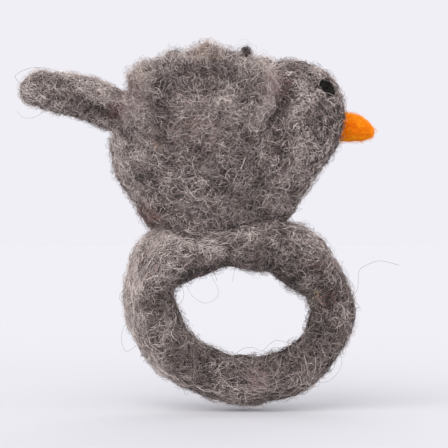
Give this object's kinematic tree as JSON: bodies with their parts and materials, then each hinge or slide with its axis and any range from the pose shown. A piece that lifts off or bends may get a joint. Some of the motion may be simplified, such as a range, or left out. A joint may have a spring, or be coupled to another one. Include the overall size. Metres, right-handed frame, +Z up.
{
  "type": "felted bird finger puppet",
  "caption": "Needle-felted wool bird on a felted finger ring, with raised wings, a rolled tail and a cone beak.",
  "frame": {"origin": "centre of the opening in the finger ring", "axes": "+X out of the beak, +Y along the ring's opening towards the bird's left, +Z up"},
  "size_m": [0.1065, 0.0522, 0.1071],
  "materials": {
    "ring_wool": "matte, fibrous felt, grey with a warm cast",
    "band_wool": "matte, fibrous felt, darker grey",
    "body_wool": "matte, fibrous felt, grey with light and dark fibres",
    "wing_wool": "matte, fluffy felt, lighter grey",
    "tail_wool": "matte, rolled felt, lighter grey",
    "core_wool": "matte, dense felt",
    "beak_wool": "matte, dense orange felt",
    "eye_wool": "matte, dense black felt"
  },
  "bodies": {
    "ring": {"ring_core": "core_wool", "ring_coat": "ring_wool", "binding_band": "band_wool"},
    "bird": {"body_core": "core_wool", "body_coat": "body_wool", "beak": "beak_wool", "eye_left": "eye_wool", "eye_right": "eye_wool"},
    "left_wing": {"wing_left": "wing_wool"},
    "right_wing": {"wing_right": "wing_wool"},
    "tail": {"tail_core": "core_wool", "tail_coat": "tail_wool"}
  },
  "joints": [
    {"name": "bird_tilt", "type": "hinge", "parent": "ring", "child": "bird", "pos_m": [0, 0, 0.02], "axis": [1, 0, 0], "range_deg": [-10, 10], "stiffness_Nm_per_rad": 0.15},
    {"name": "left_wing_flap", "type": "hinge", "parent": "bird", "child": "left_wing", "pos_m": [0, 0.0194, 0.05], "axis": [-1, 0, 0], "range_deg": [0, 70], "stiffness_Nm_per_rad": 0.01},
    {"name": "right_wing_flap", "type": "hinge", "parent": "bird", "child": "right_wing", "pos_m": [0, -0.0194, 0.05], "axis": [1, 0, 0], "range_deg": [0, 70], "stiffness_Nm_per_rad": 0.01},
    {"name": "tail_lift", "type": "hinge", "parent": "bird", "child": "tail", "pos_m": [-0.0404, 0, 0.0606], "axis": [0, 1, 0], "range_deg": [-25, 25], "stiffness_Nm_per_rad": 0.01}
  ]
}
